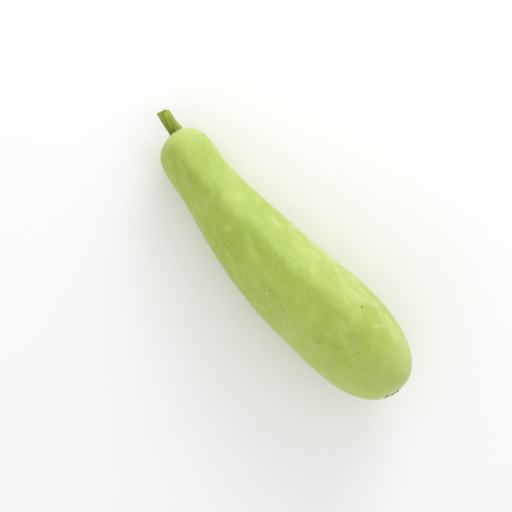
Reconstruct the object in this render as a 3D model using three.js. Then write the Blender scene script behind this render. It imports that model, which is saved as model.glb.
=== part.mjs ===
// A bottle gourd as picked, lying on its side: one club-shaped fruit, the cut stem that it hung by,
// and the dried scar that its flower left. Millimetres. The fruit's length runs along X, with the
// stem at -X and the blossom end at +X, +Z is up, and it lies on the plane z = 0.
import * as THREE from "three";

// The fruit's outline along its own axis, from the tip of the shoulder's dome: where the shoulder,
// the neck and the belly are, how thick it is there, and how it swells in between.
const FRUIT_LENGTH = 303;
const SHOULDER = { x: 27, radius: 25.7 };
const NECK = { x: 48, radius: 25.5 };
const SWELLING = [
  { x: 70, radius: 27.8 },
  { x: 100, radius: 32.6 },
  { x: 130, radius: 36.6 },
  { x: 160, radius: 39.4 },
  { x: 190, radius: 41.7 },
];
const BELLY = { x: 222, radius: 42.7 };

// An end of fullness 2 is an ellipse, and a fuller one is blunter.
const DOME_FULLNESS = 2.3;
const CAP_FULLNESS = 2.35;

// How far the middle of the fruit bows to one side along its length.
const BOW = [
  { x: 12, y: 0 },
  { x: 45, y: -3.4 },
  { x: 85, y: -7 },
  { x: 128, y: -8.6 },
  { x: 170, y: -6.8 },
  { x: 215, y: -2.7 },
  { x: 260, y: -0.4 },
  { x: FRUIT_LENGTH, y: 1 },
];

// The fruit lies on its shoulder and on the start of its belly. These are the distances from its
// axis to the ground there: a little less than its radius, so it is slightly flat where it lies.
const SHOULDER_REST = { x: 30, radius: 25.5 };
const BELLY_REST = { x: 160, radius: 38.6 };

// Five soft ribs make the neck a rounded pentagon, and are almost gone on the belly. They turn a
// little round the axis between the neck and the middle of the fruit.
const RIBS = 5;
const RIB_AT_NECK = 0.016;
const RIB_AT_BELLY = 0.005;
const RIB_SHARPNESS = 0.22;
const RIB_ANGLE = THREE.MathUtils.degToRad(99);
const RIB_TURN = THREE.MathUtils.degToRad(-26);
const RIB_TURN_SPAN = { from: 20, to: 135 };

// The stem stands off the middle of the dome, inside a low collar of skin.
const STEM_LENGTH = 21;
const STEM_RADIUS = 5.75;
const STEM_TIP_RADIUS = 5.4;
const STEM_FLARE = 0.8;
const STEM_FLARE_LENGTH = 2.4;
const STEM_OFFSET = { y: 6.1, z: 0.6 };
const STEM_LEAN = { y: 0.15, z: 0.1 };
const STEM_RIDGE = 0.075;
const STEM_RIDGE_ANGLE = THREE.MathUtils.degToRad(92);
const STEM_CUT_SLOPE = 0.42;
const COLLAR = { radius: 7.6, width: 2.2, rise: 1 };

// The scar is a thin dry pad in a shallow dimple.
const SCAR_RADIUS = 8.8;
const SCAR_THICKNESS = 1.3;
const SCAR_CORNERS = 0.07;
const SCAR_OFFSET = { y: -7.5, z: -4.5 };
const DIMPLE = { radius: 13.5, depth: 2 };

// Neighbouring pieces keep this clearance.
const GAP = 0.3;

const SECTION_POINTS = 48;
const DOME_RINGS = 12;
const FLANK_RINGS = 28;
const CAP_RINGS = 16;
const STEM_POINTS = 30;
const STEM_RINGS = 9;
const SCAR_POINTS = 30;
const SCAR_RINGS = 5;
const END_RING_SPACING = 1.2;

const REST_TILT = Math.atan2(
  BELLY_REST.radius - SHOULDER_REST.radius,
  BELLY_REST.x - SHOULDER_REST.x,
);
const REST_HEIGHT =
  SHOULDER_REST.radius * Math.cos(REST_TILT) -
  SHOULDER_REST.x * Math.sin(REST_TILT);

// A smooth curve through points, level at both ends.
function curveThrough(points, key) {
  const curve = new THREE.CubicInterpolant(
    points.map((p) => p.x),
    points.map((p) => p[key]),
    1,
  );
  curve.settings = {
    endingStart: THREE.ZeroSlopeEnding,
    endingEnd: THREE.ZeroSlopeEnding,
  };
  return (x) => curve.evaluate(x)[0];
}

const flankRadius = curveThrough([SHOULDER, NECK, ...SWELLING, BELLY], "radius");
const bowAt = curveThrough(BOW, "y");

function ribFactor(x, angle) {
  const belly = THREE.MathUtils.smoothstep(x, NECK.x, BELLY.x);
  const size = THREE.MathUtils.lerp(RIB_AT_NECK, RIB_AT_BELLY, belly);
  const turned = THREE.MathUtils.smoothstep(x, RIB_TURN_SPAN.from, RIB_TURN_SPAN.to);
  const phase = RIBS * (angle - RIB_ANGLE - RIB_TURN * turned);
  return 1 + size * (Math.cos(phase) + RIB_SHARPNESS * Math.cos(2 * phase));
}

// A point of the skin from its place in a round section: ribbed, bowed, and then laid down with
// the fruit, but no lower than the ground.
function skinPoint(x, y, z) {
  const rib = ribFactor(x, Math.atan2(z, y));
  return laidDown(x, y * rib + bowAt(x), z * rib);
}

function laidDown(x, y, z) {
  const height =
    REST_HEIGHT + x * Math.sin(REST_TILT) + z * Math.cos(REST_TILT);
  return new THREE.Vector3(
    x * Math.cos(REST_TILT) - z * Math.sin(REST_TILT),
    y,
    Math.max(height, 0),
  );
}

function flankPoint(x, angle) {
  const radius = flankRadius(x);
  return skinPoint(x, radius * Math.cos(angle), radius * Math.sin(angle));
}

// How far the surface of a round end lies short of its tip, at a distance from its middle.
function endDrop(distance, radius, length, fullness) {
  const share = Math.min(distance / radius, 1);
  return length * (1 - (1 - share ** fullness) ** (1 / fullness));
}

// A place on a round end: rings gather round the stem or the scar near the tip, and are centred on
// the end further out. Its reach is the distance from what the rings gather round.
function endPlace(reach, angle, radius, gather) {
  const shift = 1 - THREE.MathUtils.smoothstep(reach, 0.2 * radius, 0.9 * radius);
  const y = gather.y * shift + reach * Math.cos(angle);
  const z = gather.z * shift + reach * Math.sin(angle);
  return { y, z, distance: Math.hypot(y, z) };
}

// The dome at the stem's end, with the collar. lift is a clearance off the skin.
function domePoint(reach, angle, lift = 0) {
  const place = endPlace(reach, angle, SHOULDER.radius, STEM_OFFSET);
  const drop = endDrop(place.distance, SHOULDER.radius, SHOULDER.x, DOME_FULLNESS);
  const collar =
    COLLAR.rise * Math.exp(-(((reach - COLLAR.radius) / COLLAR.width) ** 2));
  return skinPoint(drop - collar - lift, place.y, place.z);
}

// The cap at the blossom end, with the dimple that holds the scar.
function capPoint(reach, angle, lift = 0) {
  const place = endPlace(reach, angle, BELLY.radius, SCAR_OFFSET);
  const length = FRUIT_LENGTH - BELLY.x;
  const drop = endDrop(place.distance, BELLY.radius, length, CAP_FULLNESS);
  const dimple =
    DIMPLE.depth * (1 - THREE.MathUtils.smoothstep(reach, 0, DIMPLE.radius));
  return skinPoint(FRUIT_LENGTH - drop - dimple + lift, place.y, place.z);
}

function around(count, pointAt) {
  return Array.from({ length: count }, (_, i) =>
    pointAt((2 * Math.PI * i) / count),
  );
}

// A closed surface over rings of points, from a first pole to a last one, growing towards +X.
function loft(first, rings, last) {
  const count = rings[0].length;
  const points = [first, ...rings.flat(), last];
  const at = (ring, i) => 1 + ring * count + (i % count);
  const end = rings.length - 1;
  const faces = [];
  for (let i = 0; i < count; i++) {
    faces.push(0, at(0, i + 1), at(0, i));
    for (let ring = 0; ring < end; ring++) {
      const [a, b] = [at(ring, i), at(ring, i + 1)];
      const [c, d] = [at(ring + 1, i), at(ring + 1, i + 1)];
      faces.push(a, b, d, a, d, c);
    }
    faces.push(at(end, i), at(end, i + 1), points.length - 1);
  }
  const geometry = new THREE.BufferGeometry().setFromPoints(points);
  geometry.setIndex(faces);
  geometry.computeVertexNormals();
  return geometry;
}

function fruitGeometry() {
  const ring = (pointAt) => around(SECTION_POINTS, pointAt);
  const reaches = (count, radius) =>
    Array.from({ length: count - 1 }, (_, i) => {
      const turn = (Math.PI / 2) * ((i + 1) / count) ** END_RING_SPACING;
      return radius * Math.sin(turn);
    });
  const dome = reaches(DOME_RINGS, SHOULDER.radius).map((reach) =>
    ring((angle) => domePoint(reach, angle)),
  );
  const cap = reaches(CAP_RINGS, BELLY.radius).map((reach) =>
    ring((angle) => capPoint(reach, angle)),
  );
  const flank = Array.from({ length: FLANK_RINGS + 1 }, (_, i) => {
    const x = THREE.MathUtils.lerp(SHOULDER.x, BELLY.x, i / FLANK_RINGS);
    return ring((angle) => flankPoint(x, angle));
  });
  return loft(domePoint(0, 0), [...dome, ...flank, ...cap.reverse()], capPoint(0, 0));
}

// The stem's foot follows the dome, its ridged side flares down to the foot, and a slanting cut
// ends it.
function stemGeometry() {
  const foot = (reach, angle) => domePoint(reach, angle, GAP);
  const centre = foot(0, 0);
  const sidePoint = (rise, radius, angle) => {
    const ridge = STEM_RIDGE * Math.cos(RIBS * (angle - STEM_RIDGE_ANGLE));
    const y = radius * (1 + ridge) * Math.cos(angle);
    const z = radius * (1 + ridge) * Math.sin(angle);
    const height = rise * (STEM_LENGTH - STEM_CUT_SLOPE * y);
    return new THREE.Vector3(
      -height,
      y + STEM_LEAN.y * height,
      z + STEM_LEAN.z * height,
    ).add(centre);
  };
  const ring = (pointAt) => around(STEM_POINTS, pointAt);
  const sides = Array.from({ length: STEM_RINGS }, (_, i) => {
    const rise = ((STEM_RINGS - i) / STEM_RINGS) ** 1.5;
    const flare = STEM_FLARE * Math.exp((-rise * STEM_LENGTH) / STEM_FLARE_LENGTH);
    const radius = THREE.MathUtils.lerp(STEM_RADIUS, STEM_TIP_RADIUS, rise) + flare;
    return ring((angle) => sidePoint(rise, radius, angle));
  });
  const rings = [
    ring((angle) => sidePoint(1, STEM_TIP_RADIUS / 2, angle)),
    ...sides,
    ring((angle) => foot(STEM_RADIUS + STEM_FLARE, angle)),
    ring((angle) => foot(STEM_RADIUS / 2, angle)),
  ];
  return loft(sidePoint(1, 0, 0), rings, centre);
}

// The scar's underside follows the dimple, and its top is a low five-cornered cushion.
function scarGeometry() {
  const layer = (share, angle, rise) => {
    const corners = 1 + SCAR_CORNERS * Math.cos(RIBS * angle);
    return capPoint(SCAR_RADIUS * share * corners, angle, GAP + rise);
  };
  const under = (share) => around(SCAR_POINTS, (angle) => layer(share, angle, 0));
  const over = (share) => {
    const rise = SCAR_THICKNESS * (1 - share ** 3);
    return around(SCAR_POINTS, (angle) => layer(share, angle, rise));
  };
  const shares = Array.from({ length: SCAR_RINGS }, (_, i) => (i + 1) / SCAR_RINGS);
  const rings = [
    ...shares.map(under),
    ...shares.slice(0, -1).reverse().map(over),
  ];
  return loft(layer(0, 0, 0), rings, layer(0, 0, SCAR_THICKNESS));
}

function piece(name, geometry, color, roughness) {
  const material = new THREE.MeshStandardMaterial({ color, roughness, metalness: 0 });
  const mesh = new THREE.Mesh(geometry, material);
  mesh.name = name;
  return mesh;
}

const gourd = new THREE.Group();
gourd.add(
  piece("fruit", fruitGeometry(), 0xacc262, 0.5),
  piece("stem", stemGeometry(), 0x8a9e3c, 0.6),
  piece("blossom_scar", scarGeometry(), 0x784b2d, 0.9),
);

// The part's origin is on the ground, under the middle of the gourd's length and width.
const box = new THREE.Box3().setFromObject(gourd, true);
const middle = box.getCenter(new THREE.Vector3());
gourd.position.set(-middle.x, -middle.y, 0);

const part = new THREE.Group();
part.add(gourd);
export default part;
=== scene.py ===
# A bottle gourd, picked and laid on its side. The sections follow it as it grew: the fruit, the stem
# that it hung by, and the dried flower at its other end. After them come the table, the lights and
# the camera. Everything is in metres, in the frame of the CAD part.
import math
import random

import bpy
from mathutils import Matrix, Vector


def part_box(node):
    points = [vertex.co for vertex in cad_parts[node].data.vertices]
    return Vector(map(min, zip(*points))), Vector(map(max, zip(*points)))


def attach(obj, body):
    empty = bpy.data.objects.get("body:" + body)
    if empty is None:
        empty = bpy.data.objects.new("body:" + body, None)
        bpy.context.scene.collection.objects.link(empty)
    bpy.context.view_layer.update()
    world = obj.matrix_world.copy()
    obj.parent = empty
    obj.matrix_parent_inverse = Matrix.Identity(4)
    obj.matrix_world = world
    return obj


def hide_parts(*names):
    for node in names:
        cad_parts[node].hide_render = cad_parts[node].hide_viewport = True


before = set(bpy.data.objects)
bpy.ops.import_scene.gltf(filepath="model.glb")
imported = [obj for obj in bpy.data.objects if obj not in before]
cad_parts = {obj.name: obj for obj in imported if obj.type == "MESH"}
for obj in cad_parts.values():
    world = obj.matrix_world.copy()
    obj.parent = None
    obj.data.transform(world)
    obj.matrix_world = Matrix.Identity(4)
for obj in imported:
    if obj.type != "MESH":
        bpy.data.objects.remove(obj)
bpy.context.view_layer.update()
bpy.ops.object.select_all(action="DESELECT")


# --- The fruit ---
# Skin and flesh grew as one body, so it is one closed mesh: the CAD fruit's, made finer. It gets
# puckers where it draws in to the stem and to the dried flower, a blunt ridge along its upper side
# and soft lumps all over. The skin is thin, smooth and a little waxy.

MM = 0.001


def only(piece):
    """Makes a piece the one that operators act on."""
    bpy.ops.object.select_all(action="DESELECT")
    piece.select_set(True)
    bpy.context.view_layer.objects.active = piece


def edit(piece, kind, wanted):
    """Opens a piece in edit mode with only the vertices or faces selected that wanted() is true for."""
    only(piece)
    bpy.ops.object.mode_set(mode="EDIT")
    bpy.ops.mesh.select_mode(type=kind)
    bpy.ops.mesh.select_all(action="DESELECT")
    bpy.ops.object.mode_set(mode="OBJECT")
    for element in piece.data.vertices if kind == "VERT" else piece.data.polygons:
        element.select = wanted(element)
    bpy.ops.object.mode_set(mode="EDIT")


def done():
    """Closes edit mode again."""
    bpy.ops.object.mode_set(mode="OBJECT")


def refine(piece, levels):
    """Rounds a piece's mesh off with a Subdivision Surface."""
    only(piece)
    rounder = piece.modifiers.new("round", "SUBSURF")
    rounder.levels = levels
    rounder.render_levels = levels
    bpy.ops.object.modifier_apply(modifier=rounder.name)


def roughen(piece, size, height, group=""):
    """Raises and sinks a piece's surface in soft lumps, each about size across."""
    only(piece)
    lumps = bpy.data.textures.new("lumps", "CLOUDS")
    lumps.noise_scale = size
    lumps.noise_depth = 1
    relief = piece.modifiers.new("lumps", "DISPLACE")
    relief.texture = lumps
    relief.texture_coords = "LOCAL"
    relief.strength = height
    relief.mid_level = 0.5
    relief.vertex_group = group
    bpy.ops.object.modifier_apply(modifier=relief.name)


CREASE_HALF_WIDTH = 0.6 * MM
CREASE_FADE = 1.8 * MM


def pucker(piece, centre, outward, count, inner, outer, depth, seed):
    """Presses short creases into a piece, that run outward from a centre, each to its own depth."""
    dice = random.Random(seed)
    across = outward.orthogonal().normalized()
    upright = outward.cross(across)
    for i in range(count):
        angle = 2 * math.pi * (i + dice.uniform(-0.25, 0.25)) / count
        crease = across * math.cos(angle) + upright * math.sin(angle)

        def on_crease(vertex):
            reach = vertex.co - centre
            along = reach.dot(crease)
            aside = abs(reach.dot(outward.cross(crease)))
            near = abs(reach.dot(outward)) < outer
            return near and inner < along < outer and aside < CREASE_HALF_WIDTH

        edit(piece, "VERT", on_crease)
        bpy.ops.transform.shrink_fatten(
            value=-depth * dice.uniform(0.4, 1),
            use_proportional_edit=True,
            proportional_edit_falloff="SMOOTH",
            proportional_size=CREASE_FADE,
        )
        done()


STEM_FOOT_RADIUS = 6.4 * MM
STEM_TIP_RADIUS = 5.4 * MM
STEM_SUNK = 2 * MM
# In the CAD stem's box its axis comes in this far from the sides, because it slants.
FOOT_IN = 6.9 * MM
TIP_IN = 4.9 * MM
stem_low, stem_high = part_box("stem")
stem_foot = Vector((stem_high.x - STEM_SUNK, stem_low.y + FOOT_IN, stem_low.z + STEM_FOOT_RADIUS))
stem_tip = Vector((stem_low.x, stem_high.y - TIP_IN, stem_high.z - STEM_TIP_RADIUS))
stem_way = (stem_tip - stem_foot).normalized()
scar_low, scar_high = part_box("blossom_scar")
scar_middle = (scar_low + scar_high) / 2
# The dried flower looks the way that its CAD node's outer faces do.
outer_faces = [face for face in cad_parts["blossom_scar"].data.polygons if face.normal.x > 0.3]
scar_way = sum((face.normal * face.area for face in outer_faces), Vector()).normalized()

# The CAD mesh's triangles are merged into quads and made finer, with the puckers in between.
fruit = bpy.data.objects.new("gourd_fruit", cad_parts["fruit"].data.copy())
bpy.context.scene.collection.objects.link(fruit)
only(fruit)
bpy.ops.object.mode_set(mode="EDIT")
bpy.ops.mesh.select_all(action="SELECT")
bpy.ops.mesh.remove_doubles(threshold=0.01 * MM)
bpy.ops.mesh.tris_convert_to_quads(face_threshold=math.radians(60), shape_threshold=math.radians(120))
done()
refine(fruit, levels=1)
pucker(fruit, stem_foot, stem_way, count=11, inner=6.5 * MM, outer=12 * MM, depth=0.7 * MM, seed=3)
pucker(fruit, scar_middle, scar_way, count=15, inner=8 * MM, outer=16 * MM, depth=0.9 * MM, seed=8)
refine(fruit, levels=1)


def push(piece, wanted, shift, fade):
    """Moves the wanted vertices of a piece, and those round them less and less as far as fade."""
    edit(piece, "VERT", wanted)
    bpy.ops.transform.translate(
        value=shift,
        use_proportional_edit=True,
        proportional_edit_falloff="SMOOTH",
        proportional_size=fade,
    )
    done()


# The dimple is pressed in where the dried flower sits.
DIMPLE_RADIUS = 8.5 * MM
DIMPLE_DEPTH = 1.8 * MM
DIMPLE_FADE = 3.5 * MM


def in_dimple(vertex):
    return (vertex.co - scar_middle).length < DIMPLE_RADIUS


push(fruit, in_dimple, -scar_way * DIMPLE_DEPTH, DIMPLE_FADE)

# A blunt ridge runs along the upper side, with a shallow valley beside it.
RIDGE_FROM = -118 * MM
RIDGE_TO = 100 * MM
RIDGE_BEND = -84 * MM
RIDGE_START_Y = -3 * MM
RIDGE_SLOPE = 0.085
RIDGE_RISE = 0.6 * MM
RIDGE_FADE = 14 * MM
VALLEY_OFFSET = -11 * MM
VALLEY_DEPTH = 0.55 * MM
VALLEY_FADE = 11 * MM
UPPER_SIDE = 20 * MM
LINE_HALF_WIDTH = 1.2 * MM


def beside_ridge(offset):
    """Picks the vertices on a line that runs along the upper side, beside the ridge."""

    def on_line(vertex):
        ridge_y = RIDGE_START_Y + RIDGE_SLOPE * max(0, vertex.co.x - RIDGE_BEND)
        upper = vertex.co.z > UPPER_SIDE and RIDGE_FROM < vertex.co.x < RIDGE_TO
        return upper and abs(vertex.co.y - ridge_y - offset) < LINE_HALF_WIDTH

    return on_line


push(fruit, beside_ridge(0), (0, 0, RIDGE_RISE), RIDGE_FADE)
push(fruit, beside_ridge(VALLEY_OFFSET), (0, 0, -VALLEY_DEPTH), VALLEY_FADE)

# On one side the skin is drawn up the stem a little.
COLLAR_RADIUS = 1.8 * MM
COLLAR_RISE = 1.7 * MM
COLLAR_FADE = 3 * MM
beside_stem = stem_foot + Vector((0, STEM_FOOT_RADIUS + 0.5 * MM, 1 * MM))
collar = fruit.closest_point_on_mesh(beside_stem)[1]


def in_collar(vertex):
    return (vertex.co - collar).length < COLLAR_RADIUS


push(fruit, in_collar, stem_way * COLLAR_RISE, COLLAR_FADE)

# The lumps stay off the flat that it lies on.
LUMPY = "lumpy"
LUMPS_FROM = 3 * MM
fruit.vertex_groups.new(name=LUMPY)
edit(fruit, "VERT", lambda vertex: vertex.co.z > LUMPS_FROM)
bpy.ops.object.vertex_group_assign()
done()
roughen(fruit, size=45 * MM, height=1.1 * MM, group=LUMPY)
roughen(fruit, size=11 * MM, height=0.2 * MM, group=LUMPY)
fruit.vertex_groups.clear()
bpy.ops.object.shade_smooth()


class Value:
    """A number that varies over a surface. Arithmetic on it adds Math nodes to its material."""

    def __init__(self, finish, socket):
        self.finish = finish
        self.socket = socket

    def math(self, operation, *numbers):
        node = self.finish.node("ShaderNodeMath", {"operation": operation}, dict(enumerate(numbers)))
        return Value(self.finish, node.outputs[0])

    def __add__(self, other):
        return self.math("ADD", self, other)

    def __sub__(self, other):
        return self.math("SUBTRACT", self, other)

    def __rsub__(self, other):
        return self.math("SUBTRACT", other, self)

    def __mul__(self, other):
        return self.math("MULTIPLY", self, other)

    def __abs__(self):
        return self.math("ABSOLUTE", self)

    def wave(self):
        return self.math("COSINE", self)

    def at_most(self, other):
        return self.math("MINIMUM", self, other)

    def at_least(self, other):
        return self.math("MAXIMUM", self, other)

    __radd__ = __add__
    __rmul__ = __mul__


class Finish:
    """A material in the making. Its patterns lie in the object's own coordinates, in metres."""

    def __init__(self, name, **constants):
        self.material = bpy.data.materials.new(name)
        self.material.use_nodes = True
        self.tree = self.material.node_tree
        self.shader = self.tree.nodes["Principled BSDF"]
        for socket, value in constants.items():
            self.shader.inputs[socket.replace("_", " ")].default_value = value
        self.place = self.node("ShaderNodeTexCoord").outputs["Object"]

    def node(self, kind, settings=None, sockets=None):
        """Adds a node: first its settings, then the value or the link of each socket."""
        node = self.tree.nodes.new(kind)
        for setting, value in (settings or {}).items():
            setattr(node, setting, value)
        for name, value in (sockets or {}).items():
            if isinstance(value, Value):
                value = value.socket
            if isinstance(value, bpy.types.NodeSocket):
                self.tree.links.new(value, node.inputs[name])
            else:
                node.inputs[name].default_value = value
        return node

    def turned(self, direction, stretch=(1, 1, 1)):
        """Coordinates with Z along a direction, stretched along their own axes."""
        turn = direction.to_track_quat("Z", "Y").inverted().to_euler()
        upright = self.node("ShaderNodeMapping", {}, {"Vector": self.place, "Rotation": turn})
        scale = {"Vector": upright.outputs[0], "Scale": tuple(1 / share for share in stretch)}
        return self.node("ShaderNodeMapping", {}, scale).outputs[0]

    def noise(self, size, detail=2.0, place=None, distortion=0.0):
        """Cloudy noise from 0 to 1, its features about size across."""
        sockets = {"Vector": place or self.place, "Scale": 1 / size, "Detail": detail}
        sockets["Distortion"] = distortion
        return Value(self, self.node("ShaderNodeTexNoise", {}, sockets).outputs["Fac"])

    def spots(self, spacing, place=None):
        """The distance to the nearest of the points scattered about spacing apart, in spacings."""
        sockets = {"Vector": place or self.place, "Scale": 1 / spacing}
        return Value(self, self.node("ShaderNodeTexVoronoi", {}, sockets).outputs["Distance"])

    def distance(self, point):
        """The distance to a point, in metres."""
        node = self.node("ShaderNodeVectorMath", {"operation": "DISTANCE"}, {0: self.place, 1: point})
        return Value(self, node.outputs["Value"])

    def along(self, point, direction):
        """How far along a direction a place lies from a point, in metres."""
        sockets = {0: self.place, 1: direction}
        product = self.node("ShaderNodeVectorMath", {"operation": "DOT_PRODUCT"}, sockets)
        return Value(self, product.outputs["Value"]) - point.dot(direction)

    def turn_about(self, point, way):
        """The angle round an axis that runs along a way through a point, in radians."""
        upright = self.turned(way)
        sockets = {0: upright, 1: way.to_track_quat("Z", "Y").inverted() @ point}
        moved = self.node("ShaderNodeVectorMath", {"operation": "SUBTRACT"}, sockets)
        sides = self.node("ShaderNodeSeparateXYZ", {}, {0: moved.outputs[0]}).outputs
        return Value(self, sides["Y"]).math("ARCTAN2", sides["Y"], sides["X"])

    def ramp(self, value, low, high, out_low=0.0, out_high=1.0):
        """Turns the range low to high of a value smoothly into out_low to out_high."""
        sockets = {"Value": value, "From Min": low, "From Max": high}
        sockets.update({"To Min": out_low, "To Max": out_high})
        node = self.node("ShaderNodeMapRange", {"interpolation_type": "SMOOTHSTEP"}, sockets)
        return Value(self, node.outputs["Result"])

    def blend(self, share, first, second):
        """A colour that goes from first to second as share goes from 0 to 1."""
        colours = [(*c, 1) if isinstance(c, tuple) else c for c in (first, second)]
        sockets = {0: share, 6: colours[0], 7: colours[1]}
        return self.node("ShaderNodeMix", {"data_type": "RGBA"}, sockets).outputs[2]

    def cover(self, colour, roughness, height, relief):
        """Links the finished patterns to the shader. Height is the bump's, in shares of relief."""
        self.tree.links.new(colour, self.shader.inputs["Base Color"])
        self.tree.links.new(roughness.socket, self.shader.inputs["Roughness"])
        bump = self.node("ShaderNodeBump", {}, {"Height": height, "Distance": relief})
        self.tree.links.new(bump.outputs["Normal"], self.shader.inputs["Normal"])
        return self.material


# The skin is pale green. It is deeper in soft patches and paler along short slanting streaks and round
# the dried flower. Painted shade darkens a band beside the ridge, a painted reflection makes it paler
# low on one flank, and painted light makes it yellower at the shoulder and on the side that the main
# light falls on. It has fine pale flecks, a few dark specks where it was knocked, a faint bruise and
# some hairline scratches.
SKIN_GREEN = (0.385, 0.505, 0.088)
SKIN_DEEP = (0.322, 0.445, 0.056)
SKIN_PALE = (0.47, 0.60, 0.175)
# The yellow of the painted light at the shoulder and on the lit side.
SKIN_LIT_YELLOW = (0.53, 0.60, 0.23)
SKIN_HALO = (0.60, 0.66, 0.36)
SKIN_SPECK = (0.10, 0.12, 0.02)
SKIN_BRUISE = (0.50, 0.44, 0.24)

# The larger specks, as seen from above, in millimetres: how far each lies along and across the
# fruit, and its size.
KNOCKS = (
    (-11.7, -5.9, 1.2),
    (84.3, 27.0, 1.9),
    (95.8, 38.8, 1.2),
    (72.0, 40.0, 1.1),
    (104.9, 15.4, 1.1),
    (110.1, -2.0, 1.3),
    (82.1, -20.4, 1.2),
    (12.1, -6.1, 1.0),
    (21.0, -22.7, 1.5),
    (23.5, -20.5, 0.9),
    (84.6, -39.2, 1.1),
    (-120.2, 13.9, 1.0),
    (-120.6, 25.1, 1.4),
    (157.5, -7.7, 3.2),
    (159.6, -3.0, 1.4),
    (158.9, 4.2, 1.7),
)


def skin_point(x, y):
    """The place on the fruit's upper side that lies above a point of the table."""
    return fruit.ray_cast(Vector((x, y, 0.2)), Vector((0, 0, -1)))[1]


skin = Finish(
    "gourd_skin", IOR=1.45, Specular_IOR_Level=0.42, Sheen_Weight=0.08, Sheen_Roughness=0.5
)
# The streaks slant a little across the fruit's length.
slanting = Vector((1, -0.25, 0.1))
patches = skin.noise(22 * MM, 3, skin.turned(slanting, (1, 1, 1.8)), distortion=0.5)
streaks = skin.noise(9 * MM, 2, skin.turned(slanting, (1, 1, 1.9)), distortion=0.3)
clouds = skin.noise(5 * MM, 4)

# Painted shade: a deeper band beside the ridge, with a crisp, ragged edge at the ridge, that fades out
# on the valley's far side.
past_bend = skin.along(Vector((RIDGE_BEND, 0, 0)), Vector((1, 0, 0)))
across = skin.along(Vector(), Vector((0, 1, 0)))
upper = skin.ramp(skin.along(Vector(), Vector((0, 0, 1))), 20 * MM, 45 * MM)
ragged = (patches - 0.5) * (16 * MM) + (clouds - 0.5) * (9 * MM)
off_ridge = across - past_bend.at_least(0) * RIDGE_SLOPE - RIDGE_START_Y + ragged
painted_valley_shade = skin.ramp(off_ridge, 2 * MM, -2 * MM) * skin.ramp(off_ridge, -26 * MM, -9 * MM) * upper
# Painted reflection of the white room: paler low on one flank of the belly.
painted_flank_reflection = skin.ramp(across, -14 * MM, -34 * MM) * skin.ramp(past_bend, 90 * MM, 150 * MM)

# Each colour is laid over the ones before it.
colour = skin.blend(skin.ramp(patches, 0.36, 0.64), SKIN_DEEP, SKIN_GREEN)
colour = skin.blend(painted_valley_shade * 0.65, colour, SKIN_DEEP)
colour = skin.blend(skin.ramp(streaks, 0.42, 0.78) * 0.5 + painted_flank_reflection * 0.4, colour, SKIN_PALE)
colour = skin.blend(skin.ramp(clouds, 0.5, 0.75) * 0.3, colour, SKIN_PALE)
# Painted light: the side that the main light falls on is yellower, in mottled patches.
painted_light_side = skin.ramp(across + ragged * 0.5, 4 * MM, 36 * MM)
mottling = skin.noise(13 * MM, 3, skin.turned(slanting, (1, 1, 1.6)), distortion=0.6)
mottle = skin.ramp(mottling, 0.35, 0.65)
colour = skin.blend(painted_light_side * (mottle * 0.42 + 0.2), colour, SKIN_LIT_YELLOW)
colour = skin.blend((1 - mottle) * 0.34, colour, SKIN_DEEP)
# Painted light: the shoulder by the stem, where the main light falls, is yellower.
painted_shoulder_light = skin.ramp(skin.distance(stem_foot), 34 * MM, 8 * MM)
colour = skin.blend(painted_shoulder_light * 0.6, colour, SKIN_LIT_YELLOW)
fleck_share = skin.ramp(skin.noise(9 * MM), 0.42, 0.62)
flecks = skin.ramp(skin.spots(2.6 * MM), 0.3, 0.1) * fleck_share
colour = skin.blend(flecks * 0.14, colour, SKIN_HALO)
halo_reach = skin.distance(scar_middle) + skin.noise(14 * MM) * (12 * MM)
colour = skin.blend(skin.ramp(halo_reach, 84 * MM, 30 * MM) * 0.5, colour, SKIN_PALE)
colour = skin.blend(skin.ramp(halo_reach, 36 * MM, 15 * MM) * 0.75, colour, SKIN_HALO)

# Small specks are scattered all over, and the pores fray the edges of the larger ones.
pores = skin.noise(0.9 * MM, 2)
specks = skin.ramp(skin.spots(21 * MM) + pores * 0.04, 0.065, 0.03) * 0.7
for x, y, size in KNOCKS:
    from_knock = skin.distance(skin_point(x * MM, y * MM)) + pores * (1.8 * MM)
    specks = specks + skin.ramp(from_knock, (size + 0.7) * MM, (size * 0.4 + 0.4) * MM)
specks = specks.at_most(1)
bruised_place = skin_point(101 * MM, 2 * MM)
from_bruise = skin.distance(bruised_place) + patches * (10 * MM)
colour = skin.blend(skin.ramp(from_bruise, 13 * MM, 5 * MM) * 0.18, colour, SKIN_BRUISE)
colour = skin.blend(specks * 0.8, colour, SKIN_SPECK)

# A scratch is a thin line where a drawn-out noise is just at its middle, broken off by another.
drawn_out = skin.turned(Vector((1, 0.5, -0.3)), (1, 1, 5))
off_scratch = abs(skin.noise(30 * MM, 0, drawn_out, distortion=0.2) - 0.5)
scratches = skin.ramp(off_scratch, 0.004, 0.001) * skin.ramp(skin.noise(17 * MM), 0.6, 0.66)
colour = skin.blend(scratches * 0.35, colour, SKIN_HALO)
roughness = skin.ramp(clouds, 0.3, 0.7, 0.42, 0.55) + specks * 0.25
height = clouds * 0.35 + pores * 0.06 - specks * 0.35 - scratches * 0.2
fruit.data.materials.clear()
fruit.data.materials.append(skin.cover(colour, roughness, height, 0.5 * MM))
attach(fruit, "root")
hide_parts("fruit")


# --- The stem ---
# A green, fibrous stalk that flares out of the shoulder, with five ridges that twist a little. Two
# strokes of a knife cut it off, so its end is half square and half slanting, with a pale ring round
# a dry, sunken pith, and torn dark shreds between the strokes.

STEM_LENGTH = 22 * MM
STEM_FLARE = 1.04
STEM_COLUMNS = 40
STEM_TWIST = math.radians(-2.0) / MM
FIRST_RIDGE = math.radians(47)
# One ridge in eight columns, as shares of the radius: its crest, its flat side, and back.
STEM_RIDGE = (1.12, 1.035, 0.96, 0.92, 0.905, 0.92, 0.96, 1.035)
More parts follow.
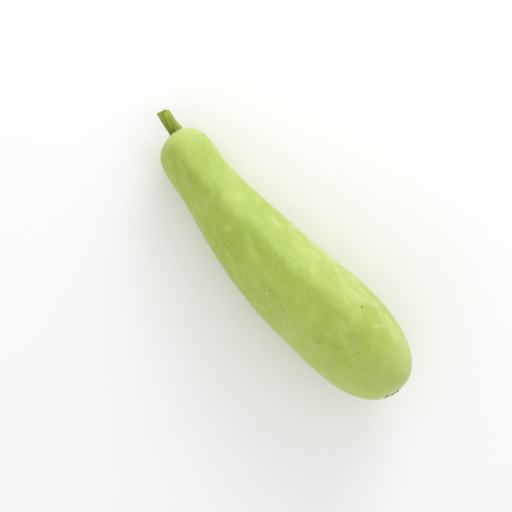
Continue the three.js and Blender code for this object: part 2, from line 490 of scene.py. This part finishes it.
# Going up from the foot: how many millimetres to the next ring, and its width beside the last's.
STEM_RINGS = (
    (1.6, 0.99),
    (0.9, 0.955),
    (1.2, 0.96),
    (2.3, 0.985),
    (4.0, 0.99),
    (4.0, 0.985),
    (4.0, 0.985),
    (4.0, 0.99),
    (4.0, 0.995),
)
# The two strokes of the knife: how far aside of the axis each one passes, and how it slopes.
STROKES = ((0, math.radians(8)), (-1.4 * MM, math.radians(32)))
STROKE_TILT = 0.04
# The cut end, from its edge inwards, in millimetres: each ring's width, and how far it rises.
CUT_RINGS = (
    (0.15, 0.05),
    (0.75, 0),
    (0.4, -0.45),
    (1.6, -0.15),
)


def step_in(rings):
    """Insets the selected faces ring by ring."""
    for width, rise in rings:
        bpy.ops.mesh.inset(thickness=width * MM, depth=rise * MM)


def close_up():
    """Turns all faces of the piece in edit mode outwards and goes back to object mode."""
    bpy.ops.mesh.select_all(action="SELECT")
    bpy.ops.mesh.normals_make_consistent(inside=False)
    done()


def stand(piece, place, way):
    """Puts a piece that was modelled upright at its place, looking its way, as part of its mesh."""
    only(piece)
    piece.location = place
    piece.rotation_euler = way.to_track_quat("Z", "Y").to_euler()
    bpy.ops.object.transform_apply(location=True, rotation=True, scale=True)


bpy.ops.mesh.primitive_circle_add(
    vertices=STEM_COLUMNS, radius=STEM_FOOT_RADIUS * STEM_FLARE, fill_type="NGON"
)
stem = bpy.context.active_object
stem.name = "gourd_stem"
for column, share in enumerate(STEM_RIDGE):

    def in_column(vertex):
        turn = (math.atan2(vertex.co.y, vertex.co.x) - FIRST_RIDGE) / (2 * math.pi)
        return round(turn * STEM_COLUMNS) % len(STEM_RIDGE) == column

    edit(stem, "VERT", in_column)
    bpy.ops.transform.resize(value=(share, share, 1), center_override=(0, 0, 0))
    done()

edit(stem, "FACE", lambda face: True)
ring_height = 0
for rise, share in STEM_RINGS:
    ring_height += rise * MM
    bpy.ops.mesh.extrude_region_move(TRANSFORM_OT_translate={"value": (0, 0, rise * MM)})
    bpy.ops.transform.resize(value=(share, share, 1), center_override=(0, 0, ring_height))
    turn = STEM_TWIST * rise * MM
    bpy.ops.transform.rotate(value=turn, orient_axis="Z", center_override=(0, 0, ring_height))
close_up()

cut_height = STEM_SUNK + STEM_LENGTH
for aside, slope in STROKES:
    edit(stem, "FACE", lambda face: True)
    bpy.ops.mesh.bisect(
        plane_co=(aside, 0, cut_height),
        plane_no=(-math.sin(slope), STROKE_TILT, math.cos(slope)),
        use_fill=True,
        clear_outer=True,
    )
    done()


def on_cut(face):
    """Whether a face is one of those that look up at the stem's end."""
    return face.normal.z > 0.6 and face.center.z > 15 * MM


edit(stem, "FACE", on_cut)
step_in(CUT_RINGS)
done()
RIND_SLOT = 0
CUT_SLOT = 1
for face in stem.data.polygons:
    face.material_index = CUT_SLOT if on_cut(face) else RIND_SLOT
refine(stem, levels=2)
roughen(stem, size=1.6 * MM, height=0.22 * MM)
bpy.ops.object.shade_smooth()
stem_base = stem_foot - stem_way * STEM_SUNK
stand(stem, stem_base, stem_way)

# The rind is olive green and fibrous. It is darker at its torn notch and paler towards the cut.
# Painted shade darkens it towards its foot and between the ridges, a painted shadow lies along the
# seam at the skin, and painted light makes one flank of each ridge and the side that the main light
# falls on paler.
STEM_OLIVE = (0.21, 0.285, 0.014)
STEM_DARK = (0.105, 0.16, 0.003)
STEM_PALE = (0.39, 0.48, 0.095)
# Dark dry brown, for the torn notch and for the painted shadow at the seam.
STEM_DRY_AND_SHADOW = (0.05, 0.06, 0.008)
# How far round the side with painted light, where the main light falls, lies from the first ridge.
# Within the turn from one ridge to the next, as a wave, how far each ridge's flank with painted light
# lies from its crest.
STEM_LIT_SIDE = math.radians(95)
CREST_LAG = 1.7
ridge_count = STEM_COLUMNS // len(STEM_RIDGE)
notch_in_stem = Vector((-1.7 * MM, 4.6 * MM, cut_height))
notch = stem_base + stem_way.to_track_quat("Z", "Y") @ notch_in_stem
stalk = Finish("stem_rind", Specular_IOR_Level=0.2)
fibres = stalk.noise(0.8 * MM, 3, stalk.turned(stem_way, (1, 1, 9)), distortion=0.4)
blotches = stalk.noise(3.5 * MM, 3, stalk.turned(stem_way, (1, 1, 2.2)))
up_stem = stalk.along(stem_foot, stem_way)
ridge_turn = stalk.turn_about(stem_foot, stem_way) - FIRST_RIDGE + up_stem * STEM_TWIST
# Painted light and shade: one flank of each ridge is paler and the grooves between them darker.
ridge_light_and_shade = stalk.ramp((ridge_turn * ridge_count - CREST_LAG).wave(), -0.5, 0.9)
# Painted light on the side of the stem that the main light falls on.
stem_lit_side = stalk.ramp((ridge_turn - STEM_LIT_SIDE).wave(), 0.35, 0.75)
colour = stalk.blend(stalk.ramp(blotches + ridge_light_and_shade * 0.2, 0.4, 0.75), STEM_DARK, STEM_OLIVE)
colour = stalk.blend(stem_lit_side * 0.55 + ridge_light_and_shade * 0.12, colour, STEM_PALE)
colour = stalk.blend(stalk.ramp(fibres, 0.42, 0.75) * 0.35, colour, STEM_PALE)
colour = stalk.blend(stalk.ramp(up_stem, 9 * MM, 19 * MM) * 0.4, colour, STEM_PALE)
# Painted shade towards the stem's foot, less on its lit side.
foot_shade = stalk.ramp(up_stem + blotches * (4 * MM), 11 * MM, 2 * MM)
colour = stalk.blend(foot_shade * 0.85 * (1 - stem_lit_side * 0.6), colour, STEM_DARK)
# A painted shadow along the seam where the stem goes into the skin.
seam_shadow = stalk.ramp(up_stem + blotches * (1.5 * MM), 2.0 * MM, 0.8 * MM)
colour = stalk.blend(seam_shadow * 0.5, colour, STEM_DRY_AND_SHADOW)
torn = stalk.ramp(stalk.distance(notch) + fibres * (1.5 * MM), 3.6 * MM, 1.6 * MM)
colour = stalk.blend(torn * 0.9, colour, STEM_DRY_AND_SHADOW)
roughness = 0.48 + fibres * 0.2
height = fibres * 0.8 + blotches * 0.3
rind = stalk.cover(colour, roughness, height, 0.35 * MM)

# Dark torn shreds stand between the two strokes of the knife. One is modelled and copied.
# Each one's place aside of the stem's axis and up, in millimetres, and its size.
SHREDS = ((-1.8, 4.2, 2.4), (-1.0, 3.4, 1.1), (-1.5, 1.4, 0.8), (-0.9, -2.8, 1.2))
SHRED_STEP = (0.1 * MM, 0, 0.6 * MM)
SHRED_SUNK = 2.4 * MM
SHRED_LEAN = 0.1


def copy_of(piece, place, turn, scale):
    """A copy of a piece, with a mesh of its own, to be joined with others."""
    copy = bpy.data.objects.new(piece.name, piece.data.copy())
    bpy.context.scene.collection.objects.link(copy)
    copy.location = place
    copy.rotation_euler = turn
    copy.scale = scale
    return copy


def join(copies, name):
    """Makes copies into one piece, with their places in its mesh."""
    bpy.ops.object.select_all(action="DESELECT")
    for copy in copies:
        copy.select_set(True)
    bpy.context.view_layer.objects.active = copies[0]
    bpy.ops.object.transform_apply(location=True, rotation=True, scale=True)
    bpy.ops.object.join()
    joined = bpy.context.active_object
    joined.name = name
    return joined


bpy.ops.mesh.primitive_circle_add(vertices=7, radius=0.6 * MM, fill_type="NGON")
shred = bpy.context.active_object
shred.name = "shred"
edit(shred, "FACE", lambda face: True)
bpy.ops.transform.resize(value=(1.3, 0.55, 1), center_override=(0, 0, 0))
for share in (0.75, 0.5):
    bpy.ops.mesh.extrude_region_move(TRANSFORM_OT_translate={"value": SHRED_STEP})
    bpy.ops.transform.resize(value=(share, share, 1))
close_up()
shred_copies = []
for aside, upward, size in SHREDS:
    place = (aside * MM, upward * MM, cut_height - SHRED_SUNK)
    turn = (SHRED_LEAN * aside, SHRED_LEAN, upward)
    shred_copies.append(copy_of(shred, place, turn, (size, size, size)))
shreds = join(shred_copies, "stem_shreds")
bpy.data.objects.remove(shred)
refine(shreds, levels=1)
roughen(shreds, size=0.6 * MM, height=0.2 * MM)
stand(shreds, stem_base, stem_way)

TORN_BLACK = (0.012, 0.014, 0.003)
TORN_BROWN = (0.06, 0.06, 0.012)
torn_dry = Finish("stem_torn", Specular_IOR_Level=0.2)
grit = torn_dry.noise(0.5 * MM, 3)
colour = torn_dry.blend(grit, TORN_BLACK, TORN_BROWN)
shreds.data.materials.append(torn_dry.cover(colour, 0.7 + grit * 0.2, grit, 0.3 * MM))
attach(shreds, "root")

# The cut end is pale and spongy round a dry brown middle, with a green edge.
CUT_PALE = (0.62, 0.60, 0.33)
CUT_TAN = (0.40, 0.33, 0.15)
CUT_BROWN = (0.10, 0.065, 0.025)
CUT_GREEN = (0.36, 0.43, 0.09)
cut = Finish("stem_cut", Specular_IOR_Level=0.25)
sponge = cut.noise(0.7 * MM, 4)
stains = cut.noise(2.6 * MM, 2)
colour = cut.blend(cut.ramp(stains, 0.35, 0.65), CUT_TAN, CUT_PALE)
colour = cut.blend(cut.ramp(sponge, 0.52, 0.75) * 0.7, colour, CUT_BROWN)
from_middle = cut.distance(stem_foot + stem_way * STEM_LENGTH) + stains * (1 * MM)
colour = cut.blend(cut.ramp(from_middle, 3.2 * MM, 1.8 * MM) * 0.75, colour, CUT_BROWN)
colour = cut.blend(cut.ramp(from_middle, 4.4 * MM, 5.0 * MM), colour, CUT_GREEN)
roughness = 0.7 + sponge * 0.2
stem.data.materials.append(rind)
stem.data.materials.append(cut.cover(colour, roughness, sponge, 0.4 * MM))
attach(stem, "root")
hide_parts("stem")


# --- The dried flower ---
# What is left of the blossom, in its dimple at the round end: a dry brown pad with five uneven
# corners, a dark ragged rim and a mat of withered fibres that fan out from one corner.

PAD_RADIUS = 8.6 * MM
PAD_COLUMNS = 60
PAD_SUNK = 1.5 * MM
PAD_WAIST = 0.93
# Each corner's angle in degrees, and how far it reaches, in shares of the radius.
PAD_CORNERS = ((88, 1.15), (152, 1.02), (214, 1.08), (276, 1.14), (336, 1.04))
PAD_CORNER_WIDTH = 24
PAD_RIM_HEIGHT = 1.3 * MM
# The pad's face, from its edge inwards, in millimetres: each ring's width, and how far it rises.
PAD_RINGS = (
    (0.35, 0.35),
    (0.55, 0),
    (0.5, -1.1),
    (1.6, 0.1),
    (2.4, 0.35),
)


def around(angle, reach, rise=0):
    """The place at an angle round the pad's middle, at a reach from it and a rise above it."""
    return Vector((math.cos(angle) * reach, math.sin(angle) * reach, rise))


bpy.ops.mesh.primitive_circle_add(vertices=PAD_COLUMNS, radius=PAD_RADIUS, fill_type="NGON")
pad = bpy.context.active_object
pad.name = "dried_flower_pad"
for column in range(PAD_COLUMNS):
    angle = 360 * column / PAD_COLUMNS
    way = around(math.radians(angle), 1)
    reach = PAD_WAIST
    for corner, corner_reach in PAD_CORNERS:
        off_corner = (angle - corner + 180) % 360 - 180
        reach += (corner_reach - PAD_WAIST) * math.exp(-((off_corner / PAD_CORNER_WIDTH) ** 2))
    edit(pad, "VERT", lambda vertex: vertex.co.normalized().dot(way) > 0.999)
    bpy.ops.transform.resize(value=(reach, reach, 1), center_override=(0, 0, 0))
    done()

edit(pad, "FACE", lambda face: True)
bpy.ops.mesh.extrude_region_move(TRANSFORM_OT_translate={"value": (0, 0, PAD_RIM_HEIGHT)})
step_in(PAD_RINGS)
done()
refine(pad, levels=2)
roughen(pad, size=2.2 * MM, height=0.9 * MM)
roughen(pad, size=0.7 * MM, height=0.45 * MM)
bpy.ops.object.shade_smooth()

# One withered fibre, flattened and bent, is copied for all of them.
FIBRE_LENGTH = 7.5 * MM
FIBRE_STEPS = 5
FIBRE_BEND = 0.12 * MM
FIBRE_TAPER = 0.84
fibre_rise = FIBRE_LENGTH / FIBRE_STEPS
bpy.ops.mesh.primitive_circle_add(vertices=5, radius=0.4 * MM, fill_type="NGON")
fibre = bpy.context.active_object
fibre.name = "fibre"
edit(fibre, "FACE", lambda face: True)
bpy.ops.transform.resize(value=(1.3, 0.6, 1), center_override=(0, 0, 0))
for step in range(1, FIBRE_STEPS + 1):
    shift = (FIBRE_BEND * step, 0, fibre_rise)
    bpy.ops.mesh.extrude_region_move(TRANSFORM_OT_translate={"value": shift})
    axis_point = (0, 0, step * fibre_rise)
    bpy.ops.transform.resize(value=(FIBRE_TAPER, FIBRE_TAPER, 1), center_override=axis_point)
close_up()
bpy.ops.object.shade_smooth()

fibre_copies = []


def lay_fibre(root, heading, lift, length, thickness):
    """Lays a copy of the fibre from its root along a heading, lifted a little off the pad.

    Length and thickness are shares of the fibre's own.
    """
    way = around(heading, math.cos(lift), math.sin(lift))
    turn = way.to_track_quat("Z", "Y").to_euler()
    fibre_copies.append(copy_of(fibre, root, turn, (thickness, thickness, length)))


dice = random.Random(21)

# Long fibres fan out from one corner of the pad.
FAN_FIBRES = 34
FAN_ROOT = Vector((1.5 * MM, 7.2 * MM, 1.3 * MM))
for i in range(FAN_FIBRES):
    heading = math.radians(dice.uniform(195, 345))
    scatter = Vector((dice.uniform(-2.5, 2.5), dice.uniform(-3.5, 0.5), dice.uniform(0, 0.6)))
    lift = dice.uniform(-0.03, 0.08)
    length = dice.uniform(0.6, 1.2)
    lay_fibre(FAN_ROOT + scatter * MM, heading, lift, length, dice.uniform(0.8, 1.4))

# Shorter ones lie crosswise over its middle.
CROSSING_FIBRES = 46
for i in range(CROSSING_FIBRES):
    angle = dice.uniform(0, 2 * math.pi)
    reach = dice.uniform(0.3, 6.5) * MM
    root = around(angle, reach, dice.uniform(1.1, 1.7) * MM)
    heading = angle + math.pi + dice.uniform(-1.2, 1.2)
    lift = dice.uniform(0, 0.16)
    length = dice.uniform(0.35, 0.8)
    lay_fibre(root, heading, lift, length, dice.uniform(0.7, 1.3))

# Scraps of the torn rim stand round the edge, and a few lean out over the skin.
RIM_SCRAPS = 18
for i in range(RIM_SCRAPS):
    angle = 2 * math.pi * (i + dice.uniform(-0.4, 0.4)) / RIM_SCRAPS
    reach = PAD_RADIUS * dice.uniform(0.85, 0.97)
    root = around(angle, reach, 1 * MM)
    heading = angle + dice.uniform(-1.4, 1.4)
    lift = dice.uniform(0.2, 0.9)
    length = dice.uniform(0.11, 0.24)
    lay_fibre(root, heading, lift, length, dice.uniform(1.8, 3.2))

# Scraps of withered petal stick to the skin above the rim: how many millimetres each lies aside of
# the pad's middle and above it, its heading in degrees, and its length and thickness.
PETAL_SCRAPS = (
    (-4.0, 6.8, 105, 0.36, 2.8),
    (-0.4, 8.4, 85, 0.24, 2.2),
    (5.8, 5.4, 50, 0.26, 2.4),
)
PETAL_RISE = 0.9
PETAL_LIFT = -0.05
for aside, upward, heading, length, thickness in PETAL_SCRAPS:
    root = Vector((aside, upward, PETAL_RISE)) * MM
    lay_fibre(root, math.radians(heading), PETAL_LIFT, length, thickness)

# One long dry hair hangs out over the skin.
HAIR_ROOT = Vector((-6.5 * MM, -3 * MM, 1.5 * MM))
lay_fibre(HAIR_ROOT, math.radians(205), lift=0.02, length=1, thickness=0.5)

mat_of_fibres = join(fibre_copies, "dried_flower_fibres")
bpy.data.objects.remove(fibre)
refine(mat_of_fibres, levels=1)
roughen(mat_of_fibres, size=2.5 * MM, height=0.5 * MM)

pad_base = scar_middle - scar_way * PAD_SUNK
stand(pad, pad_base, scar_way)
stand(mat_of_fibres, pad_base, scar_way)

FLOWER_BLACK = (0.018, 0.016, 0.004)
FLOWER_BROWN = (0.085, 0.036, 0.012)
FLOWER_RED = (0.22, 0.085, 0.035)
FLOWER_TAN = (0.56, 0.34, 0.20)


def dried(name, share_tan):
    """Dry brown plant matter: black at the rim, and tan along its threads."""
    dry = Finish(name, Specular_IOR_Level=0.3)
    threads = dry.noise(0.8 * MM, 3, distortion=0.6)
    areas = dry.noise(2.4 * MM, 2)
    colour = dry.blend(dry.ramp(areas, 0.4, 0.6), FLOWER_BROWN, FLOWER_RED)
    colour = dry.blend(dry.ramp(areas + threads, 0.9, 1.15) * share_tan, colour, FLOWER_TAN)
    edge = dry.ramp(dry.distance(scar_middle) + areas * (2.5 * MM), 8.2 * MM, 9.8 * MM)
    colour = dry.blend(edge * 0.92, colour, FLOWER_BLACK)
    return dry.cover(colour, 0.62 + threads * 0.25, threads, 0.4 * MM)


pad.data.materials.append(dried("dried_pad", 0.25))
mat_of_fibres.data.materials.append(dried("dried_fibres", 0.95))
for piece in (pad, mat_of_fibres):
    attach(piece, "root")
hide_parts("blossom_scar")


# --- The table, the lights and the camera ---
# A plain white table in a soft white room. A large soft light stands low beside the fruit, and a
# weak one fills the other side. The camera looks straight down.

bpy.ops.mesh.primitive_plane_add(size=8)
table = bpy.context.active_object
table.name = "table"
TABLE_WHITE = (0.90, 0.90, 0.90)
TABLE_WARM_WHITE = (0.92, 0.92, 0.915)
paper = Finish("table_white", Specular_IOR_Level=0.2)
grain = paper.noise(4 * MM)
colour = paper.blend(grain, TABLE_WHITE, TABLE_WARM_WHITE)
table.data.materials.append(paper.cover(colour, 0.75 + grain * 0.1, grain, 0.05 * MM))


FRUIT_MIDDLE = Vector((0, 0, 0.04))


def soft_light(name, place, size, power):
    """A square area light that faces the fruit."""
    light = bpy.data.lights.new(name, "AREA")
    light.shape = "SQUARE"
    light.size = size
    light.energy = power
    lamp = bpy.data.objects.new(name, light)
    lamp.location = place
    lamp.rotation_euler = (Vector(place) - FRUIT_MIDDLE).to_track_quat("Z", "Y").to_euler()
    bpy.context.scene.collection.objects.link(lamp)


soft_light("main_light", place=(-0.65, 1.15, 0.46), size=0.9, power=11.5)
soft_light("fill_light", place=(0.3, -1.3, 0.5), size=1.0, power=1.5)

room = bpy.data.worlds.new("room")
room.use_nodes = True
room_walls = room.node_tree.nodes["Background"]
room_walls.inputs["Color"].default_value = (1, 1, 1, 1)
room_walls.inputs["Strength"].default_value = 0.885
bpy.context.scene.world = room
bpy.context.scene.view_settings.view_transform = "Standard"

camera = bpy.data.objects.new("camera", bpy.data.cameras.new("camera"))
bpy.context.scene.collection.objects.link(camera)
camera.location = (-9.0 * MM, -11.7 * MM, 1.343)
camera.rotation_euler = (0, 0, math.radians(48.26))
camera.data.lens = 103.6
camera.data.sensor_width = 36
camera.data.clip_end = 50
bpy.context.scene.camera = camera
